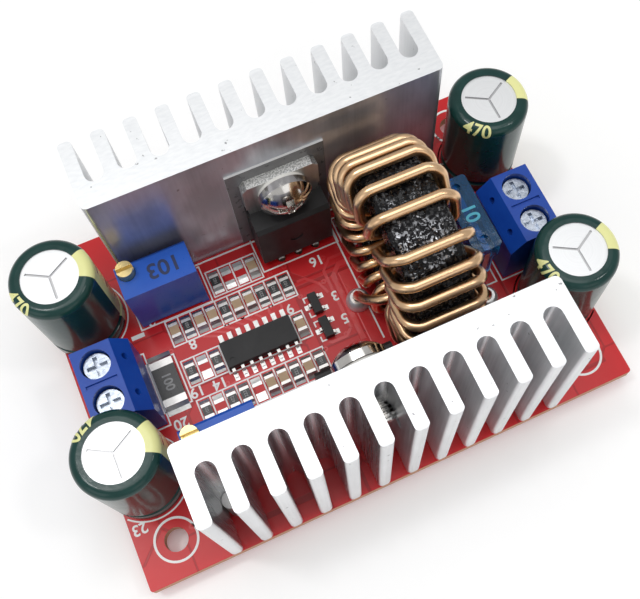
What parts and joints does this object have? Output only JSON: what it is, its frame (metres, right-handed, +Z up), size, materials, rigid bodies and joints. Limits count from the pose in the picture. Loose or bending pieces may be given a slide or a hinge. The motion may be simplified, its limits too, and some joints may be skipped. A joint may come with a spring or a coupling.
{
  "type": "boost converter module",
  "caption": "Open step-up power converter board with finned heatsinks along both sides, a toroidal inductor, can capacitors, screw terminals and trimmers.",
  "frame": {"origin": "centre of the rectangle of mounting holes, on the underside of the board", "axes": "+X along the board from the input terminal to the output terminal, +Y towards the diode's heatsink, +Z up out of the component side"},
  "size_m": [0.0692, 0.048, 0.0292],
  "materials": {
    "solder_mask_red": "red solder mask over glass-fibre laminate",
    "sink_aluminium": "bare extruded aluminium, sawn ends",
    "tinned_wire": "tin plated",
    "insulating_sheet": "thin grey insulating sheet",
    "white_nylon": "moulded nylon",
    "bright_steel": "nickel plated",
    "moulded_epoxy": "moulded black epoxy",
    "plated_copper": "tin plated copper",
    "green_sleeve": "dark green shrink sleeve with a pale stripe",
    "can_aluminium": "drawn aluminium",
    "bung_rubber": "moulded rubber",
    "terminal_blue": "moulded blue plastic",
    "plated_steel": "zinc plated",
    "trimmer_blue": "moulded blue plastic",
    "adjuster_brass": "turned brass",
    "core_black": "pressed iron powder with a glossy black coat",
    "enamelled_copper": "copper wire with clear enamel",
    "solder": "bright solder",
    "fuse_blue": "clear blue plastic",
    "fuse_zinc": "stamped zinc alloy",
    "resistor_black": "black glazed ceramic",
    "chip_ceramic": "tan ceramic"
  },
  "bodies": {
    "module": {"circuit_board": "solder_mask_red", "front_heatsink": "sink_aluminium", "rear_heatsink": "sink_aluminium", "heatsink_pins": "tinned_wire", "capacitor_leads": "tinned_wire", "terminal_contacts": "tinned_wire", "trimmer_pins": "tinned_wire", "controller_leads": "tinned_wire", "small_transistor_leads": "tinned_wire", "front_insulator": "insulating_sheet", "rear_insulator": "insulating_sheet", "insulating_bushes": "white_nylon", "device_screws": "bright_steel", "switch_transistor_body": "moulded_epoxy", "output_diode_body": "moulded_epoxy", "controller_body": "moulded_epoxy", "small_transistor_bodies": "moulded_epoxy", "switch_transistor_frame": "plated_copper", "output_diode_frame": "plated_copper", "capacitor_sleeve_1": "green_sleeve", "capacitor_sleeve_2": "green_sleeve", "capacitor_sleeve_3": "green_sleeve", "capacitor_sleeve_4": "green_sleeve", "capacitor_can_1": "can_aluminium", "capacitor_can_2": "can_aluminium", "capacitor_can_3": "can_aluminium", "capacitor_can_4": "can_aluminium", "capacitor_bungs": "bung_rubber", "input_terminal_housing": "terminal_blue", "output_terminal_housing": "terminal_blue", "rear_trimmer_housing": "trimmer_blue", "front_trimmer_housing": "trimmer_blue", "inductor_core": "core_black", "inductor_winding": "enamelled_copper", "inductor_solder": "solder", "solder_joints": "solder", "solder_pads": "solder", "chip_end_caps": "solder", "shunt_end_caps": "solder", "fuse_body": "fuse_blue", "fuse_element": "fuse_zinc", "chip_resistors": "resistor_black", "shunt_resistor": "resistor_black", "chip_capacitors": "chip_ceramic"},
    "input_screw_1": {"input_screw_1": "plated_steel"},
    "input_clamp_1": {"input_clamp_1": "plated_steel"},
    "input_screw_2": {"input_screw_2": "plated_steel"},
    "input_clamp_2": {"input_clamp_2": "plated_steel"},
    "output_screw_1": {"output_screw_1": "plated_steel"},
    "output_clamp_1": {"output_clamp_1": "plated_steel"},
    "output_screw_2": {"output_screw_2": "plated_steel"},
    "output_clamp_2": {"output_clamp_2": "plated_steel"},
    "rear_trimmer_screw": {"rear_trimmer_screw": "adjuster_brass"},
    "front_trimmer_screw": {"front_trimmer_screw": "adjuster_brass"}
  },
  "joints": [
    {"name": "rear_trimmer_turn", "type": "hinge", "parent": "module", "child": "rear_trimmer_screw", "pos_m": [-0.02138, 0.01205, 0.0116], "axis": [0, 0, 1], "continuous": true},
    {"name": "front_trimmer_turn", "type": "hinge", "parent": "module", "child": "front_trimmer_screw", "pos_m": [-0.02138, -0.0109, 0.0116], "axis": [0, 0, 1], "continuous": true},
    {"name": "input_screw_1_turn", "type": "hinge", "parent": "module", "child": "input_screw_1", "pos_m": [-0.0288, -0.00265, 0.0092], "axis": [0, 0, -1], "range_deg": [0, 1440]},
    {"name": "input_clamp_1_rise", "type": "slide", "parent": "module", "child": "input_clamp_1", "axis": [0, 0, 1], "range_m": [0, 0.0018]},
    {"name": "input_screw_2_turn", "type": "hinge", "parent": "module", "child": "input_screw_2", "pos_m": [-0.0288, 0.00235, 0.0092], "axis": [0, 0, -1], "range_deg": [0, 1440]},
    {"name": "input_clamp_2_rise", "type": "slide", "parent": "module", "child": "input_clamp_2", "axis": [0, 0, 1], "range_m": [0, 0.0018]},
    {"name": "output_screw_1_turn", "type": "hinge", "parent": "module", "child": "output_screw_1", "pos_m": [0.0288, -0.00265, 0.0092], "axis": [0, 0, -1], "range_deg": [0, 1440]},
    {"name": "output_clamp_1_rise", "type": "slide", "parent": "module", "child": "output_clamp_1", "axis": [0, 0, 1], "range_m": [0, 0.0018]},
    {"name": "output_screw_2_turn", "type": "hinge", "parent": "module", "child": "output_screw_2", "pos_m": [0.0288, 0.00235, 0.0092], "axis": [0, 0, -1], "range_deg": [0, 1440]},
    {"name": "output_clamp_2_rise", "type": "slide", "parent": "module", "child": "output_clamp_2", "axis": [0, 0, 1], "range_m": [0, 0.0018]}
  ],
  "couplings": [
    {"joint": "input_screw_1_turn", "follows": "input_clamp_1_rise", "rad_per_m": 13963},
    {"joint": "input_screw_2_turn", "follows": "input_clamp_2_rise", "rad_per_m": 13963},
    {"joint": "output_screw_1_turn", "follows": "output_clamp_1_rise", "rad_per_m": 13963},
    {"joint": "output_screw_2_turn", "follows": "output_clamp_2_rise", "rad_per_m": 13963}
  ]
}
